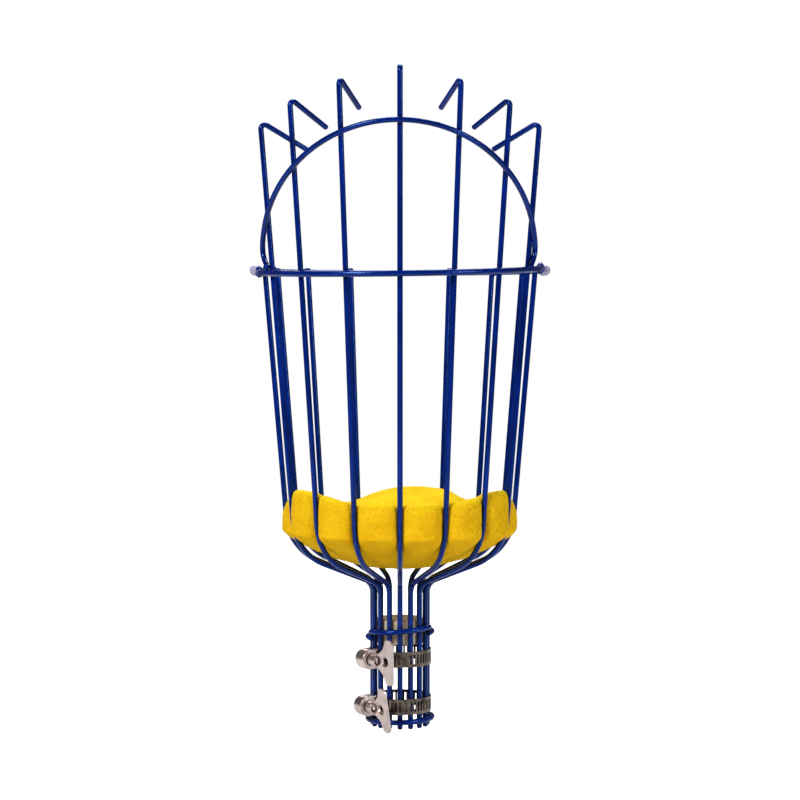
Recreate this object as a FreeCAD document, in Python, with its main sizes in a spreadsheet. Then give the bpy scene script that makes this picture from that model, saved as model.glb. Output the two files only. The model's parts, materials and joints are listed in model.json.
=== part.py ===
import FreeCAD, Part
import math
import os
import re
import Sketcher

# Fruit picker basket. Z is up. The origin is on the neck's axis, level with the lower ends of the wires.
# The tall tines are on the -Y side and the low lip is on the +Y side. Millimetres and degrees.
SIZES = {
    # The sixteen wires
    "wire_radius": 1.4,
    "wire_step_angle": 22.5,
    "neck_radius": 14.3,
    "neck_bend_radius": 8.0,
    "floor_corner_height": 75.2,
    "shoulder_corner_radius": 58.0,
    "shoulder_corner_height": 92.8,
    "shoulder_bend_radius": 27.0,
    "rim_wire_radius": 70.3,
    "rim_height": 238.4,
    "short_wire_height": 239.6,
    "tip_round": 1.1,
    # The hooked tops of the tall tines, from the middle one outwards
    "hook_reach": 25.5,
    "hook_drop": 14.0,
    "hook_bend_radius": 2.2,
    "centre_tine_height": 339.2,
    "inner_tine_height": 332.9,
    "middle_tine_height": 323.8,
    "outer_tine_height": 313.7,
    # The rim, in two half hoops, and the caps on the rear one's ends, which pass outside the front one's
    "hoop_radius": 73.1,
    "rear_hoop_radius": 76.0,
    "hoop_wire_radius": 1.6,
    "front_hoop_angle": 181.0,
    "rear_hoop_angle": 168.0,
    "cap_radius": 2.8,
    "cap_bore_radius": 1.8,
    "cap_length": 8.0,
    "cap_bore_length": 5.0,
    "cap_round": 2.2,
    # The arch outside the tall tines
    "arch_half_width": 69.4,
    "arch_rise": 63.3,
    "arch_centre": -0.7,
    "arch_base": 10.0,
    "arch_foot": 3.0,
    "arch_foot_half_width": 67.4,
    "weld_offset": 2.6,
    # The rings round the neck
    "ring_radius": 16.9,
    "neck_ring_front_angle": 136.0,
    "neck_ring_rear_angle": 240.0,
    # The hose clamps, in a frame with the housing on the -Y side and the key towards +X
    "band_inner_radius": 15.75,
    "band_thickness": 0.6,
    "band_half_width": 4.0,
    "tail_inner_radius": 16.45,
    "tail_before_angle": 30.0,
    "upper_tail_after_angle": 64.0,
    "lower_tail_after_angle": 69.0,
    "tail_end_round": 2.2,
    "slot_half_width": 0.5,
    "slot_half_height": 2.5,
    "slots_per_turn": 51,
    "screw_radius": 20.6,
    "housing_half_length": 4.6,
    "housing_outer_radius": 5.3,
    "housing_foot": 16.1,
    "housing_edge_round": 0.5,
    "housing_dome_round": 3.2,
    "housing_shift": 1.95,
    "channel_half_height": 4.3,
    "channel_top": 17.3,
    "worm_bay_half_length": 3.3,
    "worm_bay_radius": 3.6,
    "journal_bore_radius": 2.6,
    "worm_core_radius": 2.4,
    "thread_radius": 3.2,
    "thread_half_width": 0.55,
    "thread_pitch": 2.0,
    "thread_count": 3,
    "worm_tail_length": 6.8,
    "collar_start": 3.0,
    "collar_radius": 3.0,
    "collar_end": 6.4,
    # The wing keys, measured along the screw from the middle of the housing
    "key_half_thickness": 0.6,
    "key_start": 6.4,
    "key_root_half_width": 3.2,
    "key_waist": 10.4,
    "key_waist_half_width": 4.2,
    "key_shoulder": 13.4,
    "key_shoulder_half_width": 6.6,
    "key_wing_start": 15.8,
    "key_half_span": 11.6,
    "key_end": 21.2,
    "key_tip_round": 2.3,
    "key_shoulder_round": 3.0,
    "key_rivet_hole_radius": 2.0,
    "key_rivet_hole_at": 9.2,
    "key_eye_radius": 2.7,
    "key_eye_at": 15.2,
    # The stop plug in the neck
    "plug_radius": 12.7,
    "plug_base": 43.5,
    "plug_top": 56.6,
    "plug_chamfer": 0.8,
    # The foam pad and the slots that clear the wires
    "pad_base": 87.0,
    "pad_belly": 90.5,
    "pad_belly_radius": 35.0,
    "pad_side_base": 104.4,
    "pad_side_base_radius": 62.0,
    "pad_side_middle": 107.0,
    "pad_side_radius": 63.0,
    "pad_top": 121.5,
    "pad_top_radius": 62.0,
    "pad_crest": 123.2,
    "pad_crest_radius": 58.0,
    "pad_slope": 118.6,
    "pad_slope_radius": 46.0,
    "pad_floor": 117.8,
    "pad_floor_edge": 117.8,
    "pad_floor_radius": 30.0,
    "slot_count": 16,
    "pad_slot_half_width": 1.8,
    "pad_slot_start": 34.0,
    "pad_slot_rise": 1.95,
    "pad_slot_corner_inset": 1.7,
    "pad_slot_corner_rise": 1.3,
    "pad_slot_inset": 1.81,
    "pad_slot_height": 130.0,
    "pad_slot_reach": 76.0,
}

# Where each clamp sits: height on the neck, how far its housing is turned from -Y towards -X, and how far
# its key is turned about the screw.
CLAMPS = {
    "upper": {"height": 36.7, "turn": 53.0, "key_turn": 1.0},
    "lower": {"height": 12.0, "turn": 58.0, "key_turn": 9.0},
}

FRONT_HOOP_TILT = 1.2
REAR_HOOP_TILT = 1.2
RIM_SIDE_TILT = 0.8
NECK_RING_TILT = 5.0
NECK_RING_FRONT_HEIGHT = 51.4
NECK_RING_REAR_HEIGHT = 48.1
FOOT_RING_TILT = 1.5
FOOT_RING_HEIGHT = 4.1

X_AXIS = FreeCAD.Vector(1, 0, 0)
Y_AXIS = FreeCAD.Vector(0, 1, 0)
Z_AXIS = FreeCAD.Vector(0, 0, 1)
FRONT = -90.0
REAR = 90.0
NEAR = 0.05

doc = FreeCAD.newDocument("fruit_picker_basket")
sheet = doc.addObject("Spreadsheet::Sheet", "Dimensions")
for row, (name, size) in enumerate(SIZES.items(), start=1):
    sheet.set(f"A{row}", name)
    sheet.set(f"B{row}", str(size))
    sheet.setAlias(f"B{row}", name)
doc.recompute()

subparts = []


def full(text):
    """An expression on the sheet's names, in the form that setExpression takes."""
    return re.sub(r"[a-z_]+", lambda m: f"Dimensions.{m.group()}" if m.group() in SIZES else m.group(), text)


def value(text):
    """The number that an expression on the sheet's names gives now."""
    result = sheet.evalExpression(full(text))
    return float(getattr(result, "Value", result))


def new_body(name):
    body = doc.addObject("PartDesign::Body", name)
    body.Label = name
    subparts.append(body)
    return body


def new_sketch(body, role, name):
    sketch = body.newObject("Sketcher::SketchObject", f"{body.Name}_{name}")
    plane = [p for p in body.Origin.OriginFeatures if p.Role == role][0]
    sketch.AttachmentSupport = [(plane, "")]
    sketch.MapMode = "FlatFace"
    return sketch


def constrain(sketch, text, *args):
    """Adds a constraint whose size follows an expression on the sheet's names."""
    index = sketch.addConstraint(Sketcher.Constraint(*args, value(text)))
    sketch.setExpression(f"Constraints[{index}]", full(text))


def pin(sketch, geometry, end, x_text, y_text):
    """Holds a point of the sketch at two expressions from its origin."""
    for kind, text, axis in (("DistanceX", x_text, -2), ("DistanceY", y_text, -1)):
        if abs(value(text)) < NEAR:
            sketch.addConstraint(Sketcher.Constraint("PointOnObject", geometry, end, axis))
        else:
            constrain(sketch, text, kind, -1, 1, geometry, end)


def add_circle(sketch, x_text, y_text, radius_text):
    centre = FreeCAD.Vector(value(x_text), value(y_text), 0)
    circle = sketch.addGeometry(Part.Circle(centre, Z_AXIS, value(radius_text)), False)
    constrain(sketch, radius_text, "Radius", circle)
    pin(sketch, circle, 3, x_text, y_text)


def add_polygon(sketch, corners):
    """A closed outline with every corner held by expressions."""
    points = [FreeCAD.Vector(value(x), value(y), 0) for x, y in corners]
    lines = []
    for start, end in zip(points, points[1:] + points[:1]):
        lines.append(sketch.addGeometry(Part.LineSegment(start, end), False))
    for line, following in zip(lines, lines[1:] + lines[:1]):
        sketch.addConstraint(Sketcher.Constraint("Coincident", line, 2, following, 1))
    for line, (x_text, y_text) in zip(lines, corners):
        pin(sketch, line, 1, x_text, y_text)


def add_bent_line(sketch, corners, radii):
    """Straight runs along a held construction line, with an arc of a given radius at each inner corner."""
    points = [FreeCAD.Vector(value(x), value(y), 0) for x, y in corners]
    guides = []
    for start, end in zip(points, points[1:]):
        guides.append(sketch.addGeometry(Part.LineSegment(start, end), True))
    for guide, following in zip(guides, guides[1:]):
        sketch.addConstraint(Sketcher.Constraint("Coincident", guide, 2, following, 1))
    for guide, (x_text, y_text) in zip(guides, corners):
        pin(sketch, guide, 1, x_text, y_text)
    pin(sketch, guides[-1], 2, *corners[-1])

    starts = [points[0]]
    ends = []
    arcs = []
    for index, radius_text in enumerate(radii, start=1):
        radius = value(radius_text)
        heading_in = (points[index] - points[index - 1]).normalize()
        heading_out = (points[index + 1] - points[index]).normalize()
        turn = heading_in.getAngle(heading_out)
        setback = radius * math.tan(turn / 2)
        first = points[index] - heading_in * setback
        last = points[index] + heading_out * setback
        side = 1 if heading_in.cross(heading_out).z > 0 else -1
        centre = first + FreeCAD.Vector(-heading_in.y, heading_in.x, 0) * (radius * side)
        first_angle = math.atan2(first.y - centre.y, first.x - centre.x)
        last_angle = math.atan2(last.y - centre.y, last.x - centre.x)
        circle = Part.Circle(centre, Z_AXIS, radius)
        span = (first_angle, last_angle) if side > 0 else (last_angle, first_angle)
        arc = sketch.addGeometry(Part.ArcOfCircle(circle, *span), False)
        arcs.append((arc, (1, 2) if side > 0 else (2, 1), radius_text))
        ends.append(first)
        starts.append(last)
    ends.append(points[-1])

    runs = [sketch.addGeometry(Part.LineSegment(a, b), False) for a, b in zip(starts, ends)]
    sketch.addConstraint(Sketcher.Constraint("Coincident", runs[0], 1, guides[0], 1))
    sketch.addConstraint(Sketcher.Constraint("Coincident", runs[-1], 2, guides[-1], 2))
    for index, (run, guide) in enumerate(zip(runs, guides)):
        if index > 0:
            sketch.addConstraint(Sketcher.Constraint("PointOnObject", run, 1, guide))
        if index < len(runs) - 1:
            sketch.addConstraint(Sketcher.Constraint("PointOnObject", run, 2, guide))
    for (arc, (entry, leave), radius_text), before, after in zip(arcs, runs, runs[1:]):
        sketch.addConstraint(Sketcher.Constraint("Tangent", before, 2, arc, entry))
        sketch.addConstraint(Sketcher.Constraint("Tangent", arc, leave, after, 1))
        constrain(sketch, radius_text, "Radius", arc)
    return runs


def edges_where(shape, test):
    return [f"Edge{i}" for i, edge in enumerate(shape.Edges, start=1) if test(edge)]


def add_fillet(body, name, test, radius_text):
    doc.recompute()
    base = body.Tip
    fillet = body.newObject("PartDesign::Fillet", f"{body.Name}_{name}")
    fillet.Base = (base, edges_where(base.Shape, test))
    fillet.setExpression("Radius", full(radius_text))
    doc.recompute()
    return fillet


def is_ring(edge, radius):
    return isinstance(edge.Curve, Part.Circle) and abs(edge.Curve.Radius - radius) < NEAR


def place(body, turn=0.0, height=0.0, tilt=None, back=0.0):
    """Turns a body about Z, tilts it if asked (axis, degrees), then lifts it and moves it along +Y."""
    rotation = FreeCAD.Rotation(Z_AXIS, turn)
    for axis, degrees in tilt or ():
        rotation = FreeCAD.Rotation(axis, degrees) * rotation
    body.Placement = FreeCAD.Placement(FreeCAD.Vector(0, back, height), rotation)


def on_cone(height_text):
    """The wires' distance from the axis at a height above the shoulder."""
    slope = "(rim_wire_radius - shoulder_corner_radius) / (rim_height - shoulder_corner_height)"
    return f"shoulder_corner_radius + ({height_text} - shoulder_corner_height) * {slope}"


def basket_wire(name, azimuth, height_text, hooked):
    """One wire from the neck's lower end up to the rim, or to a hook above it."""
    body = new_body(name)
    profile = new_sketch(body, "XY_Plane", "section")
    add_circle(profile, "neck_radius", "0", "wire_radius")
    path = new_sketch(body, "XZ_Plane", "path")
    corners = [
        ("neck_radius", "0"),
        ("neck_radius", "floor_corner_height"),
        ("shoulder_corner_radius", "shoulder_corner_height"),
        (on_cone(height_text), height_text),
    ]
    radii = ["neck_bend_radius", "shoulder_bend_radius"]
    if hooked:
        corners.append((f"{on_cone(height_text)} - hook_reach", f"{height_text} - hook_drop"))
        radii.append("hook_bend_radius")
    add_bent_line(path, corners, radii)
    pipe = body.newObject("PartDesign::AdditivePipe", f"{name}_pipe")
    pipe.Profile = profile
    pipe.Spine = path
    tips = [FreeCAD.Vector(value(x), 0, value(y)) for x, y in (corners[0], corners[-1])]
    radius = value("wire_radius")

    def at_tip(edge):
        return is_ring(edge, radius) and min(edge.Curve.Center.distanceToPoint(t) for t in tips) < NEAR

    add_fillet(body, "rounded_tips", at_tip, "tip_round")
    place(body, azimuth + FRONT)


def wire_ring(name, radius_text, wire_text, angle_text):
    """A ring of wire about Z, or part of one centred on +X, with rounded ends."""
    body = new_body(name)
    profile = new_sketch(body, "XZ_Plane", "section")
    add_circle(profile, radius_text, "0", wire_text)
    ring = body.newObject("PartDesign::Revolution", f"{name}_ring")
    ring.Profile = profile
    ring.ReferenceAxis = (profile, ["V_Axis"])
    ring.Midplane = True
    ring.setExpression("Angle", full(angle_text))
    if value(angle_text) < 360:
        radius = value(wire_text)
        add_fillet(body, "rounded_ends", lambda edge: is_ring(edge, radius), "tip_round")
    return body


def revolve(body, role, name, corners, axis):
    sketch = new_sketch(body, role, f"{name}_outline")
    add_polygon(sketch, corners)
    feature = body.newObject("PartDesign::Revolution", f"{body.Name}_{name}")
    feature.Profile = sketch
    feature.ReferenceAxis = (sketch, [axis])
    feature.Angle = 360
    return feature


def extrude(body, kind, sketch, name, length_text):
    feature = body.newObject(kind, f"{body.Name}_{name}")
    feature.Profile = sketch
    feature.Midplane = True
    feature.setExpression("Length", full(length_text))
    return feature


def repeat_round(body, feature, sketch, axis, angle_text, count_text, name):
    pattern = body.newObject("PartDesign::PolarPattern", f"{body.Name}_{name}")
    pattern.Originals = [feature]
    pattern.Axis = (sketch, [axis])
    pattern.setExpression("Angle", full(angle_text))
    pattern.setExpression("Occurrences", full(count_text))
    body.Tip = pattern
    return pattern


def rim_end_cap(name, azimuth):
    """A soft cap slipped over one end of the rear half hoop, built along Z with its open end up."""
    body = new_body(name)
    revolve(
        body,
        "XZ_Plane",
        "shell",
        [
            ("0", "-cap_length"),
            ("cap_radius", "-cap_length"),
            ("cap_radius", "0"),
            ("cap_bore_radius", "0"),
            ("cap_bore_radius", "-cap_bore_length"),
            ("0", "-cap_bore_length"),
        ],
        "V_Axis",
    )
    base = -value("cap_length")
    add_fillet(body, "dome", lambda edge: abs(edge.CenterOfMass.z - base) < NEAR, "cap_round")
    side = 1 if azimuth > 0 else -1
    half = math.radians(value("rear_hoop_angle") / 2)
    radius = value("rear_hoop_radius")
    bore = value("cap_bore_length")
    end = FreeCAD.Vector(side * radius * math.sin(half), radius * math.cos(half), 0)
    along = FreeCAD.Vector(-side * math.cos(half), math.sin(half), 0)
    lean = FreeCAD.Rotation(X_AXIS, -REAR_HOOP_TILT)
    lift = FreeCAD.Vector(0, value("hoop_radius - rear_hoop_radius"), value("rim_height"))
    tip = lean.multVec(end)
    turn = FreeCAD.Rotation(Z_AXIS, lean.multVec(along))
    body.Placement = FreeCAD.Placement(lift + tip + lean.multVec(along) * bore, turn)


def foam_pad():
    body = new_body("foam_pad")
    revolve(
        body,
        "XZ_Plane",
        "dish",
        [
            ("0", "pad_base"),
            ("pad_belly_radius", "pad_belly"),
            ("pad_side_base_radius", "pad_side_base"),
            ("pad_side_radius", "pad_side_middle"),
            ("pad_top_radius", "pad_top"),
            ("pad_crest_radius", "pad_crest"),
            ("pad_slope_radius", "pad_slope"),
            ("pad_floor_radius", "pad_floor_edge"),
            ("0", "pad_floor"),
        ],
        "V_Axis",
    )
    sketch = new_sketch(body, "XZ_Plane", "slot_outline")
    rise = "(shoulder_corner_height - floor_corner_height) / (shoulder_corner_radius - neck_radius)"
    start_height = f"floor_corner_height + (pad_slot_start - neck_radius) * {rise} + pad_slot_rise"
    corners = [
        ("pad_slot_start", start_height),
        ("shoulder_corner_radius - pad_slot_corner_inset", "shoulder_corner_height + pad_slot_corner_rise"),
        (f"{on_cone('pad_slot_height')} - pad_slot_inset", "pad_slot_height"),
    ]
    runs = add_bent_line(sketch, corners, ["shoulder_bend_radius - pad_slot_half_width"])
    outside = [
        corners[-1],
        ("pad_slot_reach", "pad_slot_height"),
        ("pad_slot_reach", "floor_corner_height"),
        ("pad_slot_start", "floor_corner_height"),
        corners[0],
    ]
    points = [FreeCAD.Vector(value(x), value(y), 0) for x, y in outside]
    sides = [sketch.addGeometry(Part.LineSegment(a, b), False) for a, b in zip(points, points[1:])]
    sketch.addConstraint(Sketcher.Constraint("Coincident", runs[-1], 2, sides[0], 1))
    sketch.addConstraint(Sketcher.Constraint("Coincident", sides[-1], 2, runs[0], 1))
    for side, following in zip(sides, sides[1:]):
        sketch.addConstraint(Sketcher.Constraint("Coincident", side, 2, following, 1))
    for side, (x_text, y_text) in zip(sides[:-1], outside[1:]):
        pin(sketch, side, 2, x_text, y_text)
    slot = extrude(body, "PartDesign::Pocket", sketch, "wire_slot", "2 * pad_slot_half_width")
    repeat_round(body, slot, sketch, "V_Axis", "360", "slot_count", "wire_slots")
    place(body)


def pole_stop():
    body = new_body("pole_stop")
    revolve(
        body,
        "XZ_Plane",
        "plug",
        [
            ("0", "plug_base"),
            ("plug_radius - plug_chamfer", "plug_base"),
            ("plug_radius", "plug_base + plug_chamfer"),
            ("plug_radius", "plug_top - plug_chamfer"),
            ("plug_radius - plug_chamfer", "plug_top"),
            ("0", "plug_top"),
        ],
        "V_Axis",
    )
    place(body)


def guard_arch():
    """The arch lies on the cone outside the tines, so its centre line is a curve in space."""
    half_width = value("arch_half_width")
    base = value("arch_base")
    foot = value("arch_foot")
    foot_half_width = value("arch_foot_half_width")
    rim_height = value("rim_height")
    offset = value("weld_offset")
    wire = value("wire_radius")
    steps = 24

    def on_surface(x, rise):
        reach = value(on_cone(f"({rim_height + rise})")) + offset
        return FreeCAD.Vector(x, -math.sqrt(reach * reach - x * x), rim_height + rise)

    centre = value("arch_centre")
    points = [on_surface(centre - foot_half_width, foot)]
    for step in range(steps + 1):
        angle = math.pi * (step / steps - 0.5)
        across = centre + half_width * math.sin(angle)
        points.append(on_surface(across, base + value("arch_rise") * math.cos(angle)))
    points.append(on_surface(centre + foot_half_width, foot))
    curve = Part.BSplineCurve()
    curve.interpolate(points)
    start = curve.tangent(curve.FirstParameter)[0]
    section = Part.Wire(Part.makeCircle(wire, points[0], start))
    arch = doc.addObject("Part::Feature", "guard_arch")
    arch.Shape = Part.Wire(curve.toShape()).makePipeShell([section], True, True)
    arch.Label = "guard_arch"
    arch.Placement = FreeCAD.Placement()
    subparts.append(arch)


def to_clamp(body, clamp, on_screw=False, twist=0.0):
    """Moves a piece from the clamp's own frame to the neck."""
    turn = FreeCAD.Rotation(Z_AXIS, -clamp["turn"])
    offset = FreeCAD.Vector(0, 0, clamp["height"])
    if on_screw:
        offset = offset + turn.multVec(FreeCAD.Vector(0, -value("screw_radius"), 0))
    body.Placement = FreeCAD.Placement(offset, turn * FreeCAD.Rotation(X_AXIS, twist))


def cut(name, base, tool):
    result = doc.addObject("Part::Cut", name)
    result.Base = base
    result.Tool = tool
    return result


def band_cylinder(name, radius_text, span_text="360"):
    """A cylinder about Z as tall as a clamp band is wide, or a sector of one from +X onwards."""
    cylinder = doc.addObject("Part::Cylinder", name)
    cylinder.setExpression("Radius", full(radius_text))
    cylinder.setExpression("Height", full("2 * band_half_width"))
    cylinder.setExpression("Angle", full(span_text))
    base = FreeCAD.Vector(0, 0, -value("band_half_width"))
    cylinder.Placement = FreeCAD.Placement(base, FreeCAD.Rotation())
    return cylinder


def slot_cutters(name, count, start):
    """Boxes for a band's slots, one slot pitch apart round Z, from an angle past +X."""
    half_width = value("slot_half_width")
    half_height = value("slot_half_height")
    reach = value("band_inner_radius + 4 * band_thickness")
    pitch = 360 / value("slots_per_turn")
    boxes = []
    for index in range(count):
        corner = FreeCAD.Vector(value("plug_radius"), -half_width, -half_height)
        box = Part.makeBox(reach - corner.x, 2 * half_width, 2 * half_height, corner)
        box.rotate(FreeCAD.Vector(), Z_AXIS, start + (index + 0.5) * pitch)
        boxes.append(box)
    cutters = doc.addObject("Part::Feature", name)
    cutters.Shape = Part.makeCompound(boxes)
    return cutters


def clamp_band(name, clamp, after_text):
    """The band's inner layer, slotted only where its outer layer doesn't cover it."""
    free = value(f"360 - tail_before_angle - ({after_text})")
    slot_count = int(free * value("slots_per_turn") / 360 - 1)
    start = FRONT + value(after_text) + (free - slot_count * 360 / value("slots_per_turn")) / 2
    ring = cut(
        f"{name}_ring",
        band_cylinder(f"{name}_outside", "band_inner_radius + band_thickness"),
        band_cylinder(f"{name}_inside", "band_inner_radius"),
    )
    band = cut(name, ring, slot_cutters(f"{name}_slots", slot_count, start))
    band.Label = name
    subparts.append(band)
    to_clamp(band, clamp)


def clamp_band_tail(name, clamp, after_text):
    """The band's outer layer, through the housing and on to its free end."""
    span_text = f"tail_before_angle + {after_text}"
    strip = cut(
        f"{name}_strip",
        band_cylinder(f"{name}_outside", "tail_inner_radius + band_thickness", span_text),
        band_cylinder(f"{name}_inside", "tail_inner_radius"),
    )
    doc.recompute()
    angle = math.radians(value(span_text))
    middle = value("tail_inner_radius + band_thickness / 2")
    free_end = FreeCAD.Vector(math.cos(angle), math.sin(angle), 0) * middle

    def at_corner(edge):
        centre = edge.CenterOfMass
        is_short = abs(edge.Length - value("band_thickness")) < NEAR
        return is_short and FreeCAD.Vector(centre.x, centre.y, 0).distanceToPoint(free_end) < NEAR

    radius = value("tail_end_round")
    rounded = doc.addObject("Part::Fillet", f"{name}_rounded")
    rounded.Base = strip
    corners = [i for i, edge in enumerate(strip.Shape.Edges, start=1) if at_corner(edge)]
    rounded.Edges = [(index, radius, radius) for index in corners]
    slot_count = int(value(f"({span_text}) * slots_per_turn / 360 - 1"))
    tail = cut(name, rounded, slot_cutters(f"{name}_slots", slot_count, 0.0))
    tail.Label = name
    subparts.append(tail)
    to_clamp(tail, clamp)
    start = FreeCAD.Rotation(Z_AXIS, FRONT - value("tail_before_angle"))
    tail.Placement = tail.Placement * FreeCAD.Placement(FreeCAD.Vector(), start)


def clamp_housing(name, clamp):
    """A barrel over the screw, with side walls down past the band and a channel for both of its layers."""
    body = new_body(name)
    sketch = new_sketch(body, "YZ_Plane", "barrel_outline")
    radius = value("housing_outer_radius")
    screw = value("screw_radius")
    centre = FreeCAD.Vector(-screw, 0, 0)
    crown = Part.ArcOfCircle(Part.Circle(centre, Z_AXIS, radius), math.pi / 2, 3 * math.pi / 2)
    arc = sketch.addGeometry(crown, False)
    foot = -value("housing_foot")
    corners = [(-screw, -radius), (foot, -radius), (foot, radius), (-screw, radius)]
    points = [FreeCAD.Vector(x, y, 0) for x, y in corners]
    sides = [sketch.addGeometry(Part.LineSegment(a, b), False) for a, b in zip(points, points[1:])]
    constrain(sketch, "housing_outer_radius", "Radius", arc)
    pin(sketch, arc, 3, "-screw_radius", "0")
    sketch.addConstraint(Sketcher.Constraint("Tangent", arc, 2, sides[0], 1))
    sketch.addConstraint(Sketcher.Constraint("Tangent", sides[2], 2, arc, 1))
    sketch.addConstraint(Sketcher.Constraint("Coincident", sides[0], 2, sides[1], 1))
    sketch.addConstraint(Sketcher.Constraint("Coincident", sides[1], 2, sides[2], 1))
    sketch.addConstraint(Sketcher.Constraint("Vertical", sides[1]))
    sketch.addConstraint(Sketcher.Constraint("Horizontal", sides[0]))
    constrain(sketch, "-housing_foot", "DistanceX", -1, 1, sides[0], 2)
    extrude(body, "PartDesign::Pad", sketch, "barrel", "2 * housing_half_length")
    end_x = value("housing_half_length")
    add_fillet(body, "dome", lambda edge: abs(edge.CenterOfMass.x + end_x) < NEAR, "housing_dome_round")
    add_fillet(body, "mouth", lambda edge: abs(edge.CenterOfMass.x - end_x) < NEAR, "housing_edge_round")
    channel = new_sketch(body, "YZ_Plane", "channel_outline")
    add_polygon(
        channel,
        [
            ("-channel_top", "-channel_half_height"),
            ("-plug_radius", "-channel_half_height"),
            ("-plug_radius", "channel_half_height"),
            ("-channel_top", "channel_half_height"),
        ],
    )
    extrude(body, "PartDesign::Pocket", channel, "channel", "4 * housing_half_length")
    bay = new_sketch(body, "YZ_Plane", "bay_outline")
    add_circle(bay, "-screw_radius", "0", "worm_bay_radius")
    extrude(body, "PartDesign::Pocket", bay, "bay", "2 * worm_bay_half_length")
    journal = new_sketch(body, "YZ_Plane", "journal_outline")
    add_circle(journal, "-screw_radius", "0", "journal_bore_radius")
    extrude(body, "PartDesign::Pocket", journal, "journal", "4 * housing_half_length")
    to_clamp(body, clamp)
    shift = FreeCAD.Vector(-value("housing_shift"), 0, 0)
    body.Placement = body.Placement * FreeCAD.Placement(shift, FreeCAD.Rotation())


def clamp_screw(name, clamp):
    """The worm screw, with thread ridges in the housing's bay and a collar next to the key."""
    body = new_body(name)
    revolve(
        body,
        "XZ_Plane",
        "core",
        [
            ("-worm_tail_length", "0"),
            ("-worm_tail_length", "worm_core_radius"),
            ("collar_start", "worm_core_radius"),
            ("collar_start", "collar_radius"),
            ("collar_end", "collar_radius"),
            ("collar_end", "0"),
        ],
        "H_Axis",
    )
    first = "((thread_count - 1) * thread_pitch / 2) - housing_shift"
    ridge_sketch = new_sketch(body, "XZ_Plane", "ridge_outline")
    add_polygon(
        ridge_sketch,
        [
            (f"-{first} - thread_half_width", "worm_core_radius / 2"),
            (f"-{first} + thread_half_width", "worm_core_radius / 2"),
            (f"-{first} + thread_half_width", "worm_core_radius"),
            (f"-{first} + thread_half_width / 2", "thread_radius"),
            (f"-{first} - thread_half_width / 2", "thread_radius"),
            (f"-{first} - thread_half_width", "worm_core_radius"),
        ],
    )
    ridge = body.newObject("PartDesign::Revolution", f"{name}_ridge")
    ridge.Profile = ridge_sketch
    ridge.ReferenceAxis = (ridge_sketch, ["H_Axis"])
    ridge.Angle = 360
    pattern = body.newObject("PartDesign::LinearPattern", f"{name}_ridges")
    pattern.Originals = [ridge]
    pattern.Direction = (ridge_sketch, ["H_Axis"])
    pattern.setExpression("Length", full("(thread_count - 1) * thread_pitch"))
    pattern.setExpression("Occurrences", full("thread_count"))
    body.Tip = pattern
    collar = value("collar_radius")
    add_fillet(body, "collar_edges", lambda edge: is_ring(edge, collar), "housing_edge_round")
    to_clamp(body, clamp, on_screw=True)


def clamp_key(name, clamp):
    """The flat wing key on the end of the screw."""
    body = new_body(name)
    outline = new_sketch(body, "XZ_Plane", "wing_outline")
    half = [
        ("key_start", "key_root_half_width"),
        ("key_waist", "key_waist_half_width"),
        ("key_shoulder", "key_shoulder_half_width"),
        ("key_wing_start", "key_half_span"),
        ("key_end", "key_half_span"),
    ]
    corners = half + [(x, f"-{y}") for x, y in reversed(half)]
    add_polygon(outline, corners)
    extrude(body, "PartDesign::Pad", outline, "wings", "2 * key_half_thickness")

    def across_at(x_text, y_text):
        spot_x = value(x_text)
        spot_z = value(y_text)

        def test(edge):
            centre = edge.CenterOfMass
            return (
                abs(centre.x - spot_x) < NEAR
                and abs(abs(centre.z) - spot_z) < NEAR
                and abs(edge.Length - value("2 * key_half_thickness")) < NEAR
            )

        return test

    add_fillet(body, "far_tips", across_at("key_end", "key_half_span"), "key_tip_round")
    add_fillet(body, "near_tips", across_at("key_wing_start", "key_half_span"), "key_tip_round")
    add_fillet(body, "shoulders", across_at("key_shoulder", "key_shoulder_half_width"), "key_shoulder_round")
    eye = new_sketch(body, "XZ_Plane", "eye_outline")
    add_circle(eye, "key_eye_at", "0", "key_eye_radius")
    extrude(body, "PartDesign::Pocket", eye, "eye", "4 * key_half_thickness")
    rivet = new_sketch(body, "XZ_Plane", "rivet_outline")
    add_circle(rivet, "key_rivet_hole_at", "0", "key_rivet_hole_radius")
    extrude(body, "PartDesign::Pocket", rivet, "rivet_hole", "4 * key_half_thickness")
    to_clamp(body, clamp, on_screw=True, twist=clamp["key_turn"])


def all_wires():
    tines = (
        ("centre", 0, "centre_tine_height"),
        ("inner", 1, "inner_tine_height"),
        ("middle", 2, "middle_tine_height"),
        ("outer", 3, "outer_tine_height"),
    )
    rear_centre = 8
    shorts = (
        ("side", 4),
        ("rear_outer", 5),
        ("rear_middle", 6),
        ("rear_inner", 7),
        ("rear_centre", rear_centre),
    )
    step = value("wire_step_angle")
    for where, index, height in tines:
        for side, sign in (("left", -1), ("right", 1)) if index else (("", 1),):
            name = "_".join(part for part in ("tall_tine", where, side) if part)
            basket_wire(name, sign * index * step, height, True)
    for where, index in shorts:
        for side, sign in (("left", -1), ("right", 1)) if index < rear_centre else (("", 1),):
            name = "_".join(part for part in ("short_wire", where, side) if part)
            basket_wire(name, sign * index * step, "short_wire_height", False)


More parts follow.
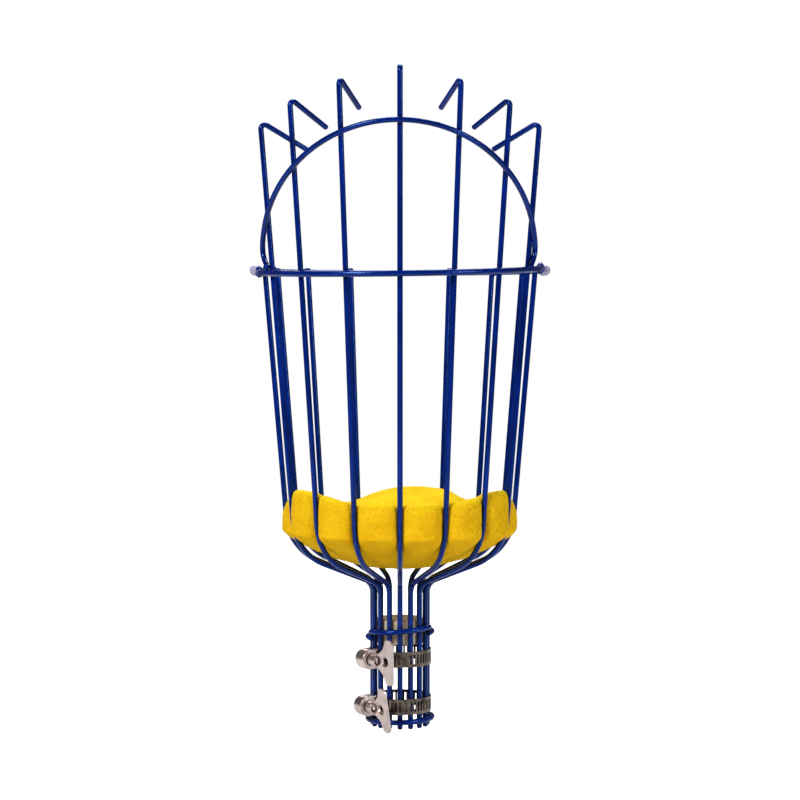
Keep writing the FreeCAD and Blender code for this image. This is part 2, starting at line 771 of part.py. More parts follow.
def all_rings():
    rim_height = value("rim_height")
    front = wire_ring("rim_hoop_front", "hoop_radius", "hoop_wire_radius", "front_hoop_angle")
    place(front, FRONT, rim_height, [(X_AXIS, FRONT_HOOP_TILT), (Y_AXIS, -RIM_SIDE_TILT)])
    rear = wire_ring("rim_hoop_rear", "rear_hoop_radius", "hoop_wire_radius", "rear_hoop_angle")
    place(rear, REAR, rim_height, [(X_AXIS, -REAR_HOOP_TILT)], value("hoop_radius - rear_hoop_radius"))
    neck_front = wire_ring("neck_ring_front", "ring_radius", "wire_radius", "neck_ring_front_angle")
    place(neck_front, FRONT, NECK_RING_FRONT_HEIGHT, [(Y_AXIS, -NECK_RING_TILT)])
    neck_rear = wire_ring("neck_ring_rear", "ring_radius", "wire_radius", "neck_ring_rear_angle")
    place(neck_rear, REAR, NECK_RING_REAR_HEIGHT, [(Y_AXIS, -NECK_RING_TILT)])
    foot = wire_ring("foot_ring", "ring_radius", "wire_radius", "360")
    place(foot, FRONT, FOOT_RING_HEIGHT, [(Y_AXIS, -FOOT_RING_TILT)])


all_wires()
all_rings()
rim_end_cap("rim_end_cap_left", -1)
rim_end_cap("rim_end_cap_right", 1)
guard_arch()
foam_pad()
pole_stop()
for level, clamp in CLAMPS.items():
    clamp_band(f"{level}_clamp_band", clamp, f"{level}_tail_after_angle")
    clamp_band_tail(f"{level}_clamp_band_tail", clamp, f"{level}_tail_after_angle")
    clamp_housing(f"{level}_clamp_housing", clamp)
    clamp_screw(f"{level}_clamp_screw", clamp)
    clamp_key(f"{level}_clamp_wing_key", clamp)
doc.recompute()

for item in doc.Objects:
    bad = {"Invalid", "Error"} & set(item.State)
    if bad:
        raise RuntimeError(f"{item.Label}: {item.State}")
os.makedirs("parts", exist_ok=True)
for subpart in subparts:
    shape = subpart.Shape
    if shape.isNull() or not shape.isValid() or len(shape.Solids) != 1:
        raise RuntimeError(f"{subpart.Label}: the shape is empty, broken or not one solid")
    shape.exportStep(f"parts/{subpart.Label}.step")
print(len(subparts), "sub-parts written")
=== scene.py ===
import json
import math

import bmesh
import bpy
import numpy as np
from mathutils import Matrix, Vector, noise


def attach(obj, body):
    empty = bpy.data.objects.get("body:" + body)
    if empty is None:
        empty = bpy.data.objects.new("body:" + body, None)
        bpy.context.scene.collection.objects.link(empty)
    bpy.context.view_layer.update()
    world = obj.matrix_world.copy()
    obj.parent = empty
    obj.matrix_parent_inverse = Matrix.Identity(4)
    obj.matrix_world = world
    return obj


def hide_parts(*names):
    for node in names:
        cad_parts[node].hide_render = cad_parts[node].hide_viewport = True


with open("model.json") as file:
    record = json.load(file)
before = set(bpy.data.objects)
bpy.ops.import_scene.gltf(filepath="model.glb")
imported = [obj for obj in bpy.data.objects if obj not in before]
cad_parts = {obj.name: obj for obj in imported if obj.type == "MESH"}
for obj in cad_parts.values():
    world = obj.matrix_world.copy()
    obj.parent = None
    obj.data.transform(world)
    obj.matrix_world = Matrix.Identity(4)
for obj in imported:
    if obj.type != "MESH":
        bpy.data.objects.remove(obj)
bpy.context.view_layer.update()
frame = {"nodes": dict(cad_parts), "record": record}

MM = 0.001
NODES = frame["nodes"]
RECORD = frame["record"]
WHITE = (1.0, 1.0, 1.0, 1.0)

# The frame's own sizes, in millimetres, as the CAD part has them
WIRE_RADIUS = 1.4
WIRE_COUNT = 16
NECK_RADIUS = 14.3
SHOULDER_CORNER = (58.0, 92.8)
RIM_CORNER = (70.3, 238.4)
HOOP_RADIUS = 73.1
REAR_HOOP_RADIUS = 76.0
RING_RADIUS = 16.9
ARCH_HALF_WIDTH = 69.4
ARCH_CENTRE = -0.7
ARCH_RISE = 63.3
ARCH_BASE = 10.0
ARCH_FOOT = 3.0
ARCH_FOOT_HALF_WIDTH = 67.4
HOOP_TILT = math.radians(1.2)
RIM_SIDE_TILT = math.radians(0.8)
NECK_RING_TILT = math.radians(5.0)
FOOT_RING_TILT = math.radians(1.5)
NECK_RING_FRONT_HEIGHT = 51.4
NECK_RING_REAR_HEIGHT = 48.1
FOOT_RING_HEIGHT = 4.1
SCREW_RADIUS = 20.6
# Each clamp's height on the neck and how far it is turned from -Y towards -X
CLAMPS = {"upper": (36.7, math.radians(53.0)), "lower": (12.0, math.radians(58.0))}

# Edges that turn by more than this are shaded sharp
SHARP_ANGLE = math.radians(35)


# ---------------------------------------------------------------- materials

def new_material(name):
    material = bpy.data.materials.new(name)
    material.use_nodes = True
    tree = material.node_tree
    shader = tree.nodes["Principled BSDF"]
    return material, tree, shader


def add_node(tree, kind, **values):
    """A node with its inputs set by name and its own options set by attribute."""
    node = tree.nodes.new(kind)
    for key, value in values.items():
        if key in node.inputs:
            node.inputs[key].default_value = value
        else:
            setattr(node, key, value)
    return node


def object_coordinates(tree, scale):
    """Object coordinates in millimetres times a scale, so that a pattern's size is stated in millimetres."""
    coordinates = add_node(tree, "ShaderNodeTexCoord")
    mapping = add_node(tree, "ShaderNodeMapping")
    mapping.inputs["Scale"].default_value = tuple(s / MM for s in scale)
    tree.links.new(coordinates.outputs["Object"], mapping.inputs["Vector"])
    return mapping.outputs["Vector"]


def ramp(tree, source, stops):
    """A colour ramp on a texture's value. Stops are (position, colour)."""
    node = add_node(tree, "ShaderNodeValToRGB")
    elements = node.color_ramp.elements
    while len(elements) < len(stops):
        elements.new(0.5)
    for element, (position, colour) in zip(elements, stops):
        element.position = position
        element.color = (*colour, 1.0)
    tree.links.new(source, node.inputs["Fac"])
    return node.outputs["Color"]


def noise_value(tree, vector, scale, detail=4.0, rough=0.55):
    node = add_node(tree, "ShaderNodeTexNoise", Scale=scale, Detail=detail, Roughness=rough)
    tree.links.new(vector, node.inputs["Vector"])
    return node.outputs["Fac"]


def add_bump(tree, shader, height, strength, distance):
    bump = add_node(tree, "ShaderNodeBump", Strength=strength, Distance=distance * MM)
    tree.links.new(height, bump.inputs["Height"])
    tree.links.new(bump.outputs["Normal"], shader.inputs["Normal"])


def multiplied(tree, first, second, factor=1.0):
    """One colour multiplied by another, as far as the factor says."""
    mix = add_node(tree, "ShaderNodeMix", data_type="RGBA", blend_type="MULTIPLY")
    mix.inputs["Factor"].default_value = factor
    tree.links.new(first, mix.inputs["A"])
    tree.links.new(second, mix.inputs["B"])
    return mix.outputs["Result"]


def grey(level):
    return (level, level, level)


def coated_wire_material():
    """Deep blue plastic dip on steel wire: glossy, faintly rippled, scuffed, with painted shade that darkens
    it where wires crowd.
    """
    material, tree, shader = new_material("blue_dipped_wire")
    vector = object_coordinates(tree, (1, 1, 1))
    cloudy = noise_value(tree, vector, 0.06, 3.0)
    colour = ramp(tree, cloudy, [(0.30, (0.0004, 0.009, 0.110)), (0.72, (0.0006, 0.019, 0.245))])
    # Painted shade: ambient occlusion darkens the blue where wires crowd together, as at the neck.
    crowding = add_node(tree, "ShaderNodeAmbientOcclusion", Distance=9.0 * MM, samples=8)
    crowd_painted_shade = ramp(tree, crowding.outputs["AO"], [(0.40, grey(0.25)), (0.90, grey(1.0))])
    tree.links.new(multiplied(tree, colour, crowd_painted_shade), shader.inputs["Base Color"])
    scuffs = noise_value(tree, object_coordinates(tree, (1, 1, 0.25)), 0.9, 6.0, 0.7)
    rough = ramp(tree, scuffs, [(0.45, grey(0.16)), (0.75, grey(0.30))])
    tree.links.new(rough, shader.inputs["Roughness"])
    shader.inputs["Specular Tint"].default_value = (0.16, 0.40, 1.0, 1.0)
    shader.inputs["Coat Weight"].default_value = 0.06
    shader.inputs["Coat Roughness"].default_value = 0.1
    shader.inputs["Specular IOR Level"].default_value = 0.6
    ripple = noise_value(tree, vector, 0.55, 2.0)
    add_bump(tree, shader, ripple, 0.35, 0.25)
    return material


def plated_steel_material(name, dark, light, rough_low, rough_high):
    """Zinc-plated or stainless steel: brushed along the strip, with tarnish, fine scratches and painted shade
    in its slots and hollows.
    """
    material, tree, shader = new_material(name)
    shader.inputs["Metallic"].default_value = 1.0
    blotches = noise_value(tree, object_coordinates(tree, (1, 1, 1)), 0.25, 5.0, 0.6)
    colour = ramp(tree, blotches, [(0.32, dark), (0.68, light)])
    # Painted shade: ambient occlusion darkens the colour in slots and narrow hollows.
    hollows = add_node(tree, "ShaderNodeAmbientOcclusion", Distance=1.5 * MM, samples=8)
    hollow_painted_shade = ramp(tree, hollows.outputs["AO"], [(0.45, grey(0.03)), (0.85, grey(1.0))])
    tree.links.new(multiplied(tree, colour, hollow_painted_shade), shader.inputs["Base Color"])
    brushing = noise_value(tree, object_coordinates(tree, (0.5, 0.5, 6.0)), 1.2, 4.0, 0.6)
    rough = ramp(tree, brushing, [(0.3, grey(rough_low)), (0.7, grey(rough_high))])
    tree.links.new(rough, shader.inputs["Roughness"])
    add_bump(tree, shader, brushing, 0.2, 0.08)
    return material


def foam_material():
    """Open-cell yellow foam, very matt: fine cells all over with painted shade in their hollows, a deeper
    amber on its cut sides, and painted shade on its underside.
    """
    material, tree, shader = new_material("yellow_open_foam")
    vector = object_coordinates(tree, (1, 1, 1))
    clouds = noise_value(tree, vector, 0.08, 3.0)
    colour = ramp(tree, clouds, [(0.30, (0.90, 0.57, 0.008)), (0.70, (1.00, 0.71, 0.014))])
    # Painted shade: each cell is darker and more amber towards its middle, as if in shadow.
    cells = add_node(tree, "ShaderNodeTexVoronoi", Scale=1.05, Randomness=1.0)
    tree.links.new(vector, cells.inputs["Vector"])
    cell_painted_shade = ramp(tree, cells.outputs["Distance"], [(0.05, (0.78, 0.55, 0.22)), (0.45, (1.0, 1.0, 1.0))])
    celled = multiplied(tree, colour, cell_painted_shade, 0.65)
    # Partly the foam's own tone and partly painted shade: by which way the surface faces, the underside is
    # darkest, the cut sides a deeper amber for their open cells, and the top lightest.
    geometry = add_node(tree, "ShaderNodeNewGeometry")
    parts = add_node(tree, "ShaderNodeSeparateXYZ")
    tree.links.new(geometry.outputs["Normal"], parts.inputs["Vector"])
    facing = add_node(tree, "ShaderNodeMapRange")
    facing.inputs["From Min"].default_value = -1.0
    tree.links.new(parts.outputs["Z"], facing.inputs["Value"])
    cut_side_amber_and_painted_shade = ramp(
        tree,
        facing.outputs["Result"],
        [(0.15, (0.90, 0.76, 0.60)), (0.45, (1.0, 0.85, 0.76)), (0.80, (1.0, 0.98, 1.0))],
    )
    tree.links.new(multiplied(tree, celled, cut_side_amber_and_painted_shade), shader.inputs["Base Color"])
    shader.inputs["Roughness"].default_value = 0.95
    shader.inputs["Specular IOR Level"].default_value = 0.05
    shader.inputs["Subsurface Weight"].default_value = 0.25
    shader.inputs["Subsurface Radius"].default_value = (1.0, 0.6, 0.05)
    shader.inputs["Subsurface Scale"].default_value = 4 * MM
    fine = noise_value(tree, vector, 2.2, 3.0)
    blend = add_node(tree, "ShaderNodeMath", operation="ADD")
    tree.links.new(cells.outputs["Distance"], blend.inputs[0])
    tree.links.new(fine, blend.inputs[1])
    add_bump(tree, shader, blend.outputs["Value"], 0.6, 0.5)
    return material


def plug_material():
    """Pressed cork: tan, with darker granules."""
    material, tree, shader = new_material("tan_pressed_cork")
    vector = object_coordinates(tree, (1, 1, 1))
    grains = add_node(tree, "ShaderNodeTexVoronoi", Scale=0.55, Randomness=1.0)
    tree.links.new(vector, grains.inputs["Vector"])
    speckle = noise_value(tree, vector, 0.9, 6.0, 0.7)
    stops = [(0.30, (0.52, 0.40, 0.28)), (0.50, (0.74, 0.61, 0.46)), (0.8, (0.84, 0.72, 0.57))]
    tone = ramp(tree, speckle, stops)
    tree.links.new(tone, shader.inputs["Base Color"])
    shader.inputs["Roughness"].default_value = 0.85
    add_bump(tree, shader, grains.outputs["Distance"], 0.5, 0.4)
    return material


def cap_material():
    """Soft clear vinyl with a lavender cast, cloudy where it is thick."""
    material, tree, shader = new_material("lavender_clear_vinyl")
    vector = object_coordinates(tree, (1, 1, 1))
    haze = noise_value(tree, vector, 0.5, 3.0)
    colour = ramp(tree, haze, [(0.3, (0.52, 0.48, 0.76)), (0.7, (0.72, 0.68, 0.88))])
    tree.links.new(colour, shader.inputs["Base Color"])
    rough = ramp(tree, haze, [(0.3, grey(0.28)), (0.7, grey(0.42))])
    tree.links.new(rough, shader.inputs["Roughness"])
    shader.inputs["Transmission Weight"].default_value = 0.35
    shader.inputs["Subsurface Weight"].default_value = 0.3
    shader.inputs["Subsurface Scale"].default_value = 2 * MM
    return material


# How brightly the floor shows to the camera by itself
FLOOR_GLOW = 0.85


def floor_material():
    """Matt white paper that is bright enough to lose its shadows."""
    material, tree, shader = new_material("pale_floor")
    paper = noise_value(tree, object_coordinates(tree, (1, 1, 1)), 0.02, 3.0)
    colour = ramp(tree, paper, [(0.3, grey(0.80)), (0.7, grey(0.83))])
    tree.links.new(colour, shader.inputs["Base Color"])
    shader.inputs["Roughness"].default_value = 0.9
    shader.inputs["Emission Color"].default_value = WHITE
    path = add_node(tree, "ShaderNodeLightPath")
    glow = add_node(tree, "ShaderNodeMath", operation="MULTIPLY")
    glow.inputs[1].default_value = FLOOR_GLOW
    tree.links.new(path.outputs["Is Camera Ray"], glow.inputs[0])
    tree.links.new(glow.outputs["Value"], shader.inputs["Emission Strength"])
    return material


BLUE_WIRE = coated_wire_material()
BAND_STEEL = plated_steel_material("stainless_band", (0.05, 0.04, 0.034), (0.25, 0.203, 0.172), 0.12, 0.26)
KEY_STEEL = plated_steel_material("plated_key", (0.62, 0.505, 0.49), (0.86, 0.74, 0.715), 0.26, 0.42)
FOAM = foam_material()
CORK = plug_material()
VINYL = cap_material()
FLOOR = floor_material()

MATERIAL_OF_SLOT = {
    "coated_wire": BLUE_WIRE,
    "vinyl_cap": VINYL,
    "foam": FOAM,
    "stop_plug": CORK,
    "clamp_steel": BAND_STEEL,
    "key_steel": KEY_STEEL,
}
KEY_COLOURED = ("upper_clamp_housing", "lower_clamp_housing")


def shade_smooth(mesh):
    mesh.polygons.foreach_set("use_smooth", np.ones(len(mesh.polygons), dtype=bool))


def paint_cad_nodes():
    """Gives each CAD node its slot's material and smooth shading away from its sharp edges."""
    for row in RECORD["subparts"]:
        node = NODES[row["node"]]
        material = MATERIAL_OF_SLOT[row["material_slot"]]
        if row["node"] in KEY_COLOURED:
            material = KEY_STEEL
        node.data.materials.clear()
        node.data.materials.append(material)
        shade_smooth(node.data)
        node.data.set_sharp_from_angle(angle=SHARP_ANGLE)


# ---------------------------------------------------------------- pieces

def mesh_piece(name, mesh, material, body="basket"):
    piece = bpy.data.objects.new(name, mesh)
    bpy.context.scene.collection.objects.link(piece)
    mesh.materials.append(material)
    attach(piece, body)
    return piece


def on_cone(height):
    """A wire's distance from the axis at a height above the shoulder, in millimetres."""
    share = (height - SHOULDER_CORNER[1]) / (RIM_CORNER[1] - SHOULDER_CORNER[1])
    return SHOULDER_CORNER[0] + share * (RIM_CORNER[0] - SHOULDER_CORNER[0])


def at(azimuth, radius, height):
    """A point by its angle from the front towards +X, in millimetres."""
    return Vector((radius * math.sin(azimuth), -radius * math.cos(azimuth), height))


# How large the lumps of coating are at the rim, the neck, the arch and the front hoop's ends
RIM_BEAD = 0.95
NECK_BEAD = 0.92
ARCH_BEAD = 0.95
HOOP_END_BEAD = 1.75
ARCH_FOOT_BEAD = 1.25
BEAD_HALF_SIZES = (1.75, 1.2, 1.75)
# How far out from a wire's centre its lump sits
RIM_BEAD_OFFSET = 1.3
NECK_BEAD_OFFSET = 1.2
# How far below the arch's foot the lump joining it to the rim sits
ARCH_FOOT_DROP = 1.6
# Each lump is uneven: waves per millimetre, and how far they move its surface as a share of its size
BEAD_LUMPS = 0.8
BEAD_LUMP_SHARE = 0.18
BEAD_SUBDIVISIONS = 3
# The wires on each side of the middle one that rise past the rim
TALL_PER_SIDE = 3
# How finely the arch is searched for its crossings
ARCH_STEPS = 2000


def weld_points():
    """(point, size) for each place where the coating pools round a weld."""
    step = 2 * math.pi / WIRE_COUNT
    neck = NECK_RADIUS + NECK_BEAD_OFFSET
    points = []
    for index in range(1 - WIRE_COUNT // 2, 1 + WIRE_COUNT // 2):
        azimuth = index * step
        x = math.sin(azimuth)
        y = -math.cos(azimuth)
        at_rear = abs(index) > WIRE_COUNT // 4
        side_lift = 0.0 if at_rear else x * math.sin(RIM_SIDE_TILT)
        droop = -abs(y) * math.sin(HOOP_TILT)
        rim = RIM_CORNER[1] + HOOP_RADIUS * (droop + side_lift)
        gap = rear_hoop_gap(azimuth) if at_rear else 0.0
        points.append((at(azimuth, RIM_CORNER[0] + RIM_BEAD_OFFSET + gap / 2, rim), RIM_BEAD + gap / 3))
        foot = FOOT_RING_HEIGHT + RING_RADIUS * x * math.sin(FOOT_RING_TILT)
        points.append((at(azimuth, neck, foot), NECK_BEAD))
        lean = RING_RADIUS * x * math.sin(NECK_RING_TILT)
        if abs(index) <= TALL_PER_SIDE:
            points.append((at(azimuth, neck, NECK_RING_FRONT_HEIGHT + lean), NECK_BEAD))
        if abs(index) >= TALL_PER_SIDE:
            points.append((at(azimuth, neck, NECK_RING_REAR_HEIGHT + lean), NECK_BEAD))
    for index in range(-TALL_PER_SIDE, TALL_PER_SIDE + 1):
        points.append((arch_crossing(index * step), ARCH_BEAD))
    for side in (-1, 1):
        lift = side * HOOP_RADIUS * math.sin(RIM_SIDE_TILT)
        points.append((at(side * math.pi / 2, HOOP_RADIUS, RIM_CORNER[1] + lift), HOOP_END_BEAD))
        end_height = RIM_CORNER[1] + ARCH_FOOT - ARCH_FOOT_DROP
        end_radius = on_cone(end_height) + 2 * WIRE_RADIUS
        end_turn = math.asin((ARCH_CENTRE + side * ARCH_FOOT_HALF_WIDTH) / end_radius)
        points.append((at(end_turn, end_radius, end_height), ARCH_FOOT_BEAD))
    return points


def rear_hoop_gap(azimuth):
    """How far the rear hoop, which is wider than the front one, stands off the wire at this angle."""
    back = REAR_HOOP_RADIUS - HOOP_RADIUS
    along = -back * math.cos(azimuth)
    reach = math.sqrt(REAR_HOOP_RADIUS ** 2 - (back * math.sin(azimuth)) ** 2) - along
    return reach - HOOP_RADIUS


def arch_point(turn):
    """A point on the arch's centre line, by its turn from the top towards +X."""
    height = RIM_CORNER[1] + ARCH_BASE + ARCH_RISE * math.cos(turn)
    x = ARCH_CENTRE + ARCH_HALF_WIDTH * math.sin(turn)
    radius = on_cone(height) + 2 * WIRE_RADIUS
    return at(math.asin(x / radius), radius, height)


def arch_crossing(azimuth):
    """Where the arch passes over the tine at this angle."""
    points = [arch_point(math.pi * (step / ARCH_STEPS - 0.5)) for step in range(ARCH_STEPS + 1)]
    nearest = min(points, key=lambda point: abs(math.atan2(point.x, -point.y) - azimuth))
    return at(azimuth, on_cone(nearest.z) + RIM_BEAD_OFFSET, nearest.z)


def weld_beads():
    """Small lumps of coating round every weld, wider than they are deep."""
    work = bmesh.new()
    for index, (point, size) in enumerate(weld_points()):
        azimuth = math.atan2(point.x, -point.y)
        turn = Matrix.Rotation(azimuth, 4, "Z")
        shape = Matrix.Diagonal((*(half * size for half in BEAD_HALF_SIZES), 1.0))
        matrix = Matrix.Translation(point) @ turn @ shape
        made = bmesh.ops.create_icosphere(work, subdivisions=BEAD_SUBDIVISIONS, radius=1.0, matrix=matrix)
        for vert in made["verts"]:
            lump = noise.noise(vert.co * BEAD_LUMPS + Vector((index, 0, 0)))
            vert.co += (vert.co - point) * (BEAD_LUMP_SHARE * lump)
    for vert in work.verts:
        vert.co *= MM
    for face in work.faces:
        face.smooth = True
    mesh = bpy.data.meshes.new("weld_beads")
    work.to_mesh(mesh)
    work.free()
    mesh_piece("weld_beads", mesh, BLUE_WIRE)


# Sections of the foam pad, from the middle of its underside round its edge to the middle of its top:
# between two wires, where it bulges, and behind a wire, where the wire presses it in.
PAD_BULGE = [
    (0.0, 83.6), (20.0, 84.6), (35.0, 88.8), (46.0, 93.4), (55.0, 97.8), (60.6, 101.2), (63.2, 103.0),
    (64.2, 103.6), (64.0, 105.0), (63.8, 113.0), (63.2, 119.0), (62.2, 122.6), (60.4, 123.9), (56.0, 123.2),
    (50.0, 120.6), (42.0, 118.6), (30.0, 117.6), (18.0, 117.4), (8.0, 117.5), (0.0, 117.5),
]
PAD_GROOVE = [
    (0.0, 83.6), (20.0, 84.6), (35.0, 88.8), (44.0, 92.8), (50.6, 96.2), (54.4, 99.2), (56.0, 101.6),
    (57.0, 103.6), (57.4, 106.6), (58.0, 113.0), (58.4, 118.0), (58.0, 121.0), (56.4, 122.2), (53.0, 121.6),
    (48.0, 119.8), (42.0, 118.6), (30.0, 117.6), (18.0, 117.4), (8.0, 117.5), (0.0, 117.5),
]
# How far the rim stands above the sections, by degrees from the front round by +X: high at each side of the
# tall tines and squeezed low all along the rear, in millimetres
PAD_RIM_LINE = [
    (0, -1.6), (30, -1.4), (48, 1.8), (66, 2.4), (78, -4.5), (90, -12.5), (120, -14.0),
    (240, -14.0), (270, -13.5), (282, -5.0), (294, 2.4), (312, 2.0), (330, -1.2), (360, -1.6),
]
# The middle of the pad buckles up into a low dome a little to the right
PAD_DOME_CENTRE = (8.0, 0.0)
PAD_DOME_RADIUS = 32.0
PAD_DOME_RISE = 9.8
PAD_DOME_STEEPNESS = 2.2
# How far each lobe stands out between its wires, as a share
PAD_LOBE_SWELL = [1.0, 1.05, 0.98, 0.62, 0.5, 0.7, 0.9, 0.85, 0.9, 0.85, 0.7, 0.5, 0.68, 1.0, 1.05, 0.98]
# The rim line moves the pad's points in proportion to their height between these two, and to their distance
# from the axis between the next two, in millimetres
PAD_LIFT_HEIGHTS = (104.0, 121.0)
PAD_LIFT_RADII = (26.0, 56.0)
# Where the pad's cut side starts: outside these radii, above the first heights and below the second
PAD_SIDE_RADII = (57.0, 60.0)
PAD_SIDE_FOOT = (103.0, 106.0)
PAD_SIDE_HEAD = (118.5, 121.5)
PAD_MIDDLE_HEIGHT = 105.0
PAD_GROOVE_HALF_WIDTH = 1.55
# Nearer the axis than this, a groove narrows with the lobes beside it
PAD_GROOVE_START = 16.9
PAD_GROOVE_STEEPNESS = 2.5
PAD_ROWS = 200
PAD_SMOOTHING = 2
PAD_COLUMNS_PER_LOBE = 34
# Above 1, the columns stand closer together beside the wires than midway between them
PAD_COLUMN_CROWDING = 1.5
# Cells torn open in the cut side, as (cells per millimetre, hollow share of a cell, depth in millimetres)
LARGE_CELLS = (0.55, 0.34, 0.9)
SMALL_CELLS = (0.95, 0.45, 1.0)
SKIN_CELL_SHARE = 0.16
# Waves in the foam's surface, as (waves per millimetre, height in millimetres)
FINE_GRAIN = (1.1, 0.12)
COARSE_GRAIN = (0.35, 0.22)
TOP_WAVE = (0.045, 0.9)


def between(value, limits):
    """0 below the first limit, 1 above the second and in proportion between them."""
    low, high = limits
    return min(1.0, max(0.0, (value - low) / (high - low)))


def wave(point, scale, height):
    return height * noise.noise(point * scale)


def hollow(point, scale, reach, depth):
    """The depth of the cell that is torn open at a point, 0 on the walls between cells."""
    nearest = noise.voronoi(point * scale)[0][0]
    return depth * max(0.0, 1.0 - nearest / reach)


def smooth_section(points):
    """A section's points as a rounded line, in rows that are spaced as they are along PAD_BULGE."""
    line = np.array(points)
    lengths = np.hypot(*np.diff(np.array(PAD_BULGE), axis=0).T)
    known = np.concatenate([[0.0], np.cumsum(lengths)])
    steps = np.linspace(0, known[-1], PAD_ROWS)
    dense = np.stack([np.interp(steps, known, line[:, axis]) for axis in (0, 1)], axis=1)
    for _ in range(PAD_SMOOTHING):
        dense[1:-1] = 0.25 * dense[:-2] + 0.5 * dense[1:-1] + 0.25 * dense[2:]
    return dense


def lobe_shape(offset, radius):
    """0 behind a wire, rising steeply beside it to 1 midway to the next. Offset is radians from midway."""
    half_step = math.pi / WIRE_COUNT
    wall = half_step - PAD_GROOVE_HALF_WIDTH / max(radius, PAD_GROOVE_START)
    share = min(1.0, abs(offset) / wall)
    return math.sqrt(max(0.0, 1.0 - share ** PAD_GROOVE_STEEPNESS))


def dome_rise(point):
    """How far the pad's middle stands up at a point of its top, in millimetres."""
    share = math.hypot(point.x - PAD_DOME_CENTRE[0], point.y - PAD_DOME_CENTRE[1]) / PAD_DOME_RADIUS
    return PAD_DOME_RISE * max(0.0, 1.0 - share ** PAD_DOME_STEEPNESS)


def pad_columns():
    """(angle from the front, offset from the lobe's middle, lobe) of each column, closer beside the wires."""
    step = 2 * math.pi / WIRE_COUNT
    for column in range(WIRE_COUNT * PAD_COLUMNS_PER_LOBE):
        lobe, place = divmod(column, PAD_COLUMNS_PER_LOBE)
        share = 2 * place / PAD_COLUMNS_PER_LOBE - 1
        offset = math.copysign(1 - (1 - abs(share)) ** PAD_COLUMN_CROWDING, share) * step / 2
        yield (lobe + 0.5) * step + offset, offset, lobe


def pad_surface():
    """The pad's points without its cells, column by column, each from the underside to the top."""
    bulge = smooth_section(PAD_BULGE)[1:-1]
    groove = smooth_section(PAD_GROOVE)[1:-1]
    rim_angles, rim_lifts = zip(*PAD_RIM_LINE)
    points = []
    for azimuth, offset, lobe in pad_columns():
        lift = np.interp(math.degrees(azimuth), rim_angles, rim_lifts)
        for outer, inner in zip(bulge, groove):
            weight = lobe_shape(offset, outer[0]) * PAD_LOBE_SWELL[lobe]
            radius, height = inner * (1 - weight) + outer * weight
            top = between(height, PAD_LIFT_HEIGHTS)
            ripple = wave(at(azimuth, radius, height), *TOP_WAVE)
            height += top * between(radius, PAD_LIFT_RADII) * (lift + ripple)
            point = at(azimuth, radius, height)
            point.z += top * dome_rise(point)
            points.append(point)
    return points


def carve_cells(point):
    """Moves a point of the pad inwards by its cells: deep on the cut side, slight on the skin."""
    radius = math.hypot(point.x, point.y)
    side = between(radius, PAD_SIDE_RADII) * between(point.z, PAD_SIDE_FOOT)
    side *= 1 - between(point.z, PAD_SIDE_HEAD)
    small = hollow(point, *SMALL_CELLS)
    depth = side * (hollow(point, *LARGE_CELLS) + small) + SKIN_CELL_SHARE * small * (1 - side)
    depth -= wave(point, *FINE_GRAIN) + wave(point, *COARSE_GRAIN)
    outward = Vector((point.x, point.y, 0.0)).normalized()
    upward = Vector((0, 0, 1 if point.z > PAD_MIDDLE_HEIGHT else -1))
    return point - (outward * side + upward * (1 - side)).normalized() * depth


def pad_faces(columns, rows):
    """Quads between neighbouring columns, and a fan round each of the two points in the middle."""
    underside = columns * rows
    crown = underside + 1
    faces = []
    for column in range(columns):
        here = column * rows
        beside = (column + 1) % columns * rows
        for row in range(rows - 1):
            faces.append((here + row, beside + row, beside + row + 1, here + row + 1))
        faces.append((underside, beside, here))
        faces.append((crown, here + rows - 1, beside + rows - 1))
    return faces


def foam_pad():
    """The pad: a thick disc squeezed out between the wires, with torn open cells on its cut side."""
    points = [carve_cells(point) for point in pad_surface()]
    points.append(Vector((0, 0, PAD_BULGE[0][1])))
    points.append(Vector((0, 0, PAD_BULGE[-1][1] + dome_rise(Vector()))))
    faces = pad_faces(WIRE_COUNT * PAD_COLUMNS_PER_LOBE, PAD_ROWS - 2)
    mesh = bpy.data.meshes.new("foam_pad_soft")
    mesh.from_pydata([tuple(point * MM) for point in points], [], faces)
    shade_smooth(mesh)
    mesh.update()
    pad = mesh_piece("foam_pad_soft", mesh, FOAM)
    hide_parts("foam_pad")


# The open rolled end of a screw, measured along the screw from the middle of its housing
TUBE_OUTER = 3.05
TUBE_INNER = 2.35
TUBE_START = 6.0
TUBE_END = 8.9
TUBE_LIP = 0.25
TUBE_SIDES = 48


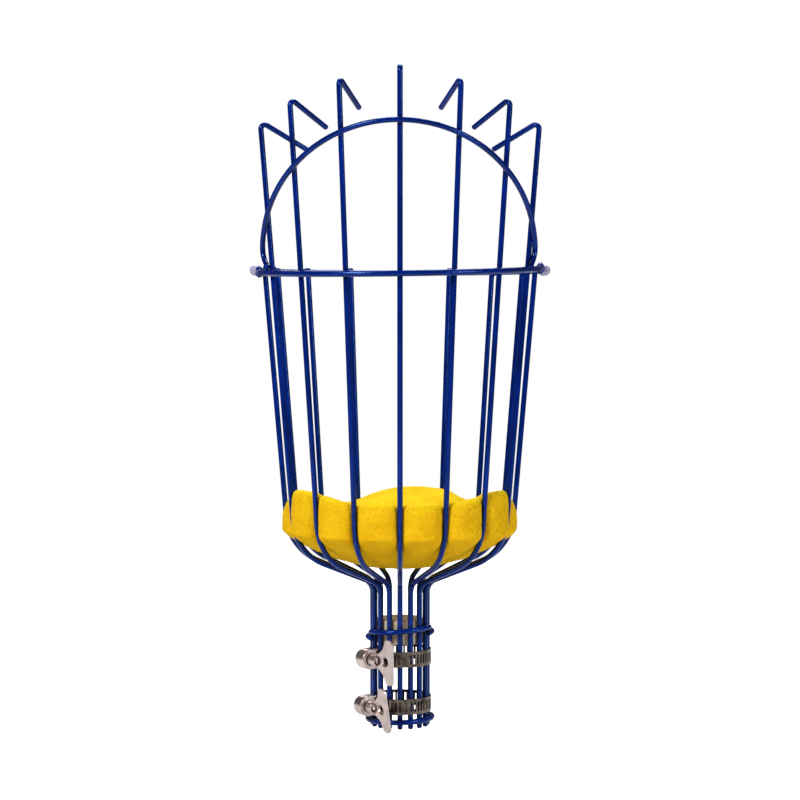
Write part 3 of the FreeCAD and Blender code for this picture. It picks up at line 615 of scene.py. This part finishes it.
def screw_tube(level):
    """The open rolled end of a clamp's screw, which the key's root is pressed into."""
    height, turned = CLAMPS[level]
    to_neck = Matrix.Rotation(-turned, 4, "Z") @ Matrix.Translation((0, -SCREW_RADIUS, 0))
    section = [
        (TUBE_START, TUBE_INNER),
        (TUBE_START, TUBE_OUTER),
        (TUBE_END - TUBE_LIP, TUBE_OUTER),
        (TUBE_END, TUBE_OUTER - TUBE_LIP),
        (TUBE_END, TUBE_INNER + TUBE_LIP),
        (TUBE_END - TUBE_LIP, TUBE_INNER),
    ]
    verts = []
    faces = []
    for side in range(TUBE_SIDES):
        turn = 2 * math.pi * side / TUBE_SIDES
        for along, radius in section:
            point = to_neck @ Vector((along, radius * math.cos(turn), radius * math.sin(turn)))
            verts.append((point + Vector((0, 0, height))) * MM)
        for corner in range(len(section)):
            following = (corner + 1) % len(section)
            here = side * len(section)
            there = (side + 1) % TUBE_SIDES * len(section)
            faces.append((here + corner, here + following, there + following, there + corner))
    mesh = bpy.data.meshes.new(f"{level}_screw_tube")
    mesh.from_pydata(verts, [], faces)
    work = bmesh.new()
    work.from_mesh(mesh)
    bmesh.ops.recalc_face_normals(work, faces=work.faces)
    work.to_mesh(mesh)
    work.free()
    shade_smooth(mesh)
    mesh.set_sharp_from_angle(angle=SHARP_ANGLE)
    mesh_piece(f"{level}_screw_tube", mesh, KEY_STEEL, f"{level}_screw")


# ---------------------------------------------------------------- studio

CAMERA_DISTANCE = 1.300
CAMERA_HEIGHT = 0.2384
CAMERA_PITCH = 2.98
CAMERA_LENS = 112.3
CAMERA_SENSOR = 36.0
# What the surroundings add to every surface, and how bright they look behind the object
AMBIENT = 0.07
BACKDROP = 1.0
# Name, place in metres, size in metres and power in watts of each light
LIGHTS = [
    ("key", (-0.75, -0.95, 0.95), 0.40, 15.0),
    ("fill", (0.95, -0.75, 0.45), 0.40, 4.5),
    ("top", (0.10, 0.35, 1.15), 0.70, 6.5),
    ("over", (0.0, 0.90, 1.00), 0.80, 7.0),
]
LIGHT_AIM = Vector((0, 0, 0.16))
FLOOR_HEIGHT = -0.006
FLOOR_RADIUS = 0.8
FLOOR_SIDES = 96


def camera():
    camera_data = bpy.data.cameras.new("camera")
    camera_data.lens = CAMERA_LENS
    camera_data.sensor_width = CAMERA_SENSOR
    viewer = bpy.data.objects.new("camera", camera_data)
    bpy.context.scene.collection.objects.link(viewer)
    viewer.location = (0.0, -CAMERA_DISTANCE, CAMERA_HEIGHT)
    viewer.rotation_euler = (math.radians(90 - CAMERA_PITCH), 0.0, 0.0)
    bpy.context.scene.camera = viewer


def world_light():
    """Dim white surroundings for the surfaces, and a white backdrop for the camera."""
    world = bpy.data.worlds.new("studio_world")
    world.use_nodes = True
    tree = world.node_tree
    background = tree.nodes["Background"]
    background.inputs["Color"].default_value = WHITE
    background.inputs["Strength"].default_value = AMBIENT
    backdrop = add_node(tree, "ShaderNodeBackground", Color=WHITE, Strength=BACKDROP)
    path = add_node(tree, "ShaderNodeLightPath")
    mix = add_node(tree, "ShaderNodeMixShader")
    tree.links.new(path.outputs["Is Camera Ray"], mix.inputs["Fac"])
    tree.links.new(background.outputs["Background"], mix.inputs[1])
    tree.links.new(backdrop.outputs["Background"], mix.inputs[2])
    tree.links.new(mix.outputs["Shader"], tree.nodes["World Output"].inputs["Surface"])
    bpy.context.scene.world = world
    bpy.context.scene.view_settings.view_transform = "Standard"


def lights():
    """Four soft area lights: in front on the left and right, overhead, and high behind."""
    for name, place, size, power in LIGHTS:
        data = bpy.data.lights.new(name, "AREA")
        data.size = size
        data.energy = power
        light = bpy.data.objects.new(name, data)
        light.location = place
        light.rotation_euler = (LIGHT_AIM - Vector(place)).to_track_quat("-Z", "Y").to_euler()
        bpy.context.scene.collection.objects.link(light)


def floor():
    """A wide round pale floor just under the lower key's wing."""
    work = bmesh.new()
    bmesh.ops.create_circle(work, cap_ends=True, segments=FLOOR_SIDES, radius=FLOOR_RADIUS)
    mesh = bpy.data.meshes.new("floor")
    work.to_mesh(mesh)
    work.free()
    mesh.materials.append(FLOOR)
    disc = bpy.data.objects.new("floor", mesh)
    disc.location.z = FLOOR_HEIGHT
    bpy.context.scene.collection.objects.link(disc)


camera()
world_light()
lights()
floor()
paint_cad_nodes()
weld_beads()
foam_pad()
for level in CLAMPS:
    screw_tube(level)
